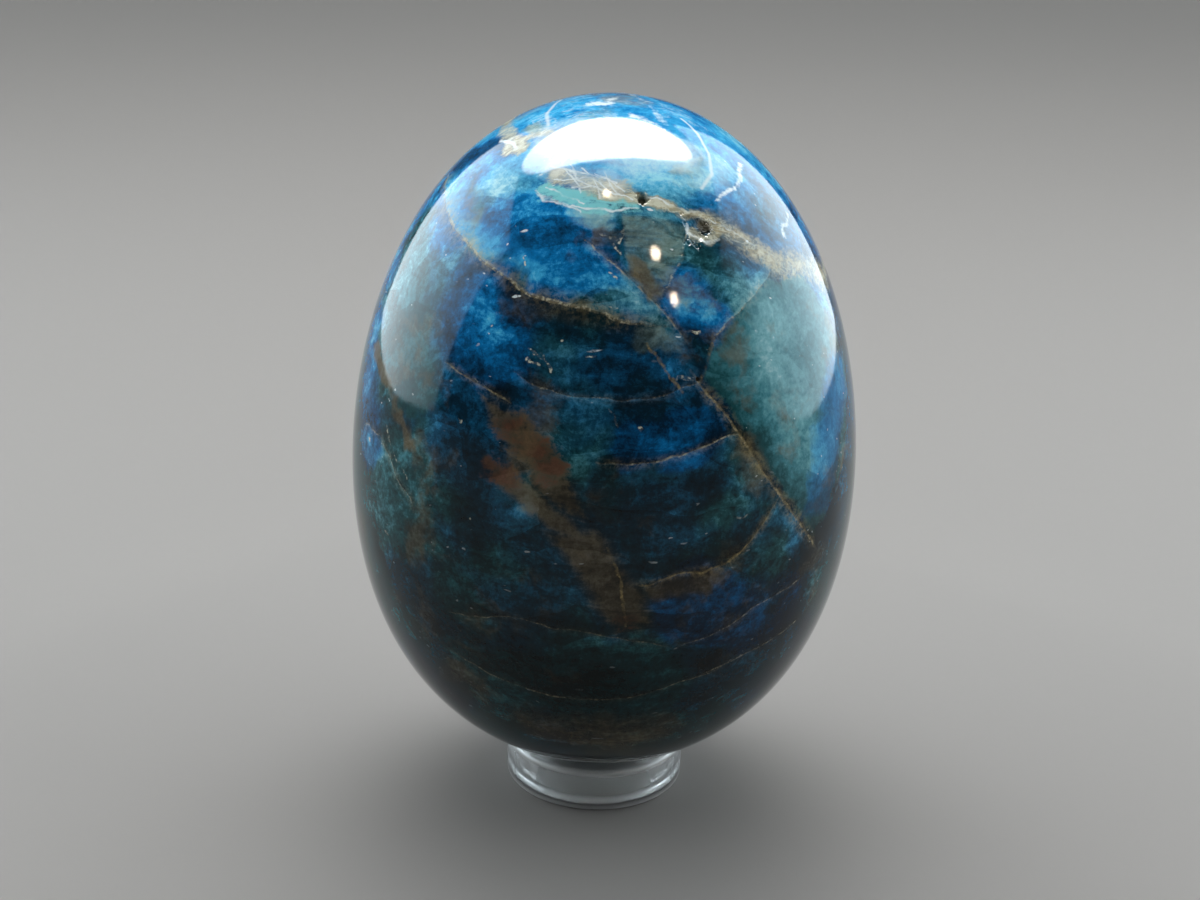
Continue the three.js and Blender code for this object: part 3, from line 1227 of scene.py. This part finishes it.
def make_lamp(lamp, stage):
    made = bpy.data.lights.new(lamp.name, "AREA")
    made.shape = lamp.shape
    made.size, made.size_y = lamp.width, lamp.height
    area = lamp.width * lamp.height
    if lamp.shape != "RECTANGLE":
        area *= math.pi / 4
    gain = 1.0
    if lamp.spread < 180:
        half = math.radians(lamp.spread / 2)
        gain = math.tan(half) / (math.tan(half) - half)
        made.spread = math.radians(lamp.spread)
    level = lamp.share * getattr(stage, lamp.level)
    made.energy = level * area * math.pi / gain
    made.color = lamp.tint
    holder = bpy.data.objects.new(lamp.name, made)
    turn, lift = math.radians(lamp.turn), math.radians(lamp.lift)
    out = math.cos(lift)
    away = Vector((math.sin(turn) * out, -math.cos(turn) * out, math.sin(lift)))
    holder.location = Vector((0, 0, LAMP_CENTRE)) + away * lamp.distance
    holder.rotation_mode = "QUATERNION"
    lean = Quaternion((0, 1, 0), math.radians(lamp.lean))
    holder.rotation_quaternion = away.to_track_quat("Z", "Y") @ lean
    holder.visible_camera = False
    holder.visible_diffuse = lamp.lights
    holder.visible_glossy = lamp.mirrored
    bpy.context.scene.collection.objects.link(holder)


def make_camera(stage):
    camera = bpy.data.cameras.new("camera")
    camera.lens, camera.sensor_width = stage.lens, 36
    camera.clip_start, camera.clip_end = 0.01, 50
    viewer = bpy.data.objects.new("camera", camera)
    bpy.context.scene.collection.objects.link(viewer)
    drop, roll = math.radians(CAMERA_DROP), math.radians(CAMERA_ROLL)
    ahead = Vector((0, math.cos(drop), -math.sin(drop)))
    right = Vector((1, 0, 0))
    up = Vector((0, math.sin(drop), math.cos(drop)))
    across = right * math.cos(roll) + up * math.sin(roll)
    above = up * math.cos(roll) - right * math.sin(roll)
    place = Matrix((across, above, -ahead)).transposed().to_4x4()
    rise = math.radians(CAMERA_RISE)
    back = CAMERA_DISTANCE * math.cos(rise)
    height = CAMERA_CENTRE + CAMERA_DISTANCE * math.sin(rise)
    place.translation = Vector((CAMERA_SIDEWAYS, -back, height))
    viewer.matrix_world = place
    bpy.context.scene.camera = viewer


class SCENE_OT_studio(bpy.types.Operator):
    """Sets up the pale floor, the soft lamps and the camera"""

    bl_idname = "egg_stand.studio"
    bl_label = "Studio"

    def execute(self, context):
        stage = context.scene.stage_settings
        make_floor(stage)
        make_surroundings(stage)
        for lamp in LAMPS:
            make_lamp(lamp, stage)
        make_camera(stage)
        context.scene.view_settings.view_transform = "Standard"
        return {"FINISHED"}


class VIEW3D_PT_egg_stand(bpy.types.Panel):
    """Lists the builders and their settings."""

    bl_idname = "VIEW3D_PT_egg_stand"
    bl_label = "Stone egg"
    bl_space_type = "VIEW_3D"
    bl_region_type = "UI"
    bl_category = "Stone egg"

    def draw(self, context):
        for operator, settings in (
            ("egg_stand.stone_egg", "egg_settings"),
            ("egg_stand.ring_stand", "ring_settings"),
            ("egg_stand.studio", "stage_settings"),
        ):
            box = self.layout.box()
            group = getattr(context.scene, settings)
            for name in group.bl_rna.properties.keys():
                if name not in {"rna_type", "name"}:
                    box.prop(group, name)
            box.operator(operator)


SETTINGS = {
    "egg_settings": EggSettings,
    "ring_settings": RingSettings,
    "stage_settings": StageSettings,
}
CLASSES = (
    *SETTINGS.values(),
    OBJECT_OT_stone_egg,
    OBJECT_OT_ring_stand,
    SCENE_OT_studio,
    VIEW3D_PT_egg_stand,
)


def register():
    for each in CLASSES:
        bpy.utils.register_class(each)
    for name, settings in SETTINGS.items():
        setattr(bpy.types.Scene, name, PointerProperty(type=settings))


def unregister():
    for name in SETTINGS:
        delattr(bpy.types.Scene, name)
    for each in reversed(CLASSES):
        bpy.utils.unregister_class(each)


def main():
    register()
    bpy.ops.egg_stand.studio()
    bpy.ops.egg_stand.ring_stand()
    bpy.ops.egg_stand.stone_egg()


if __name__ == "__main__":
    main()
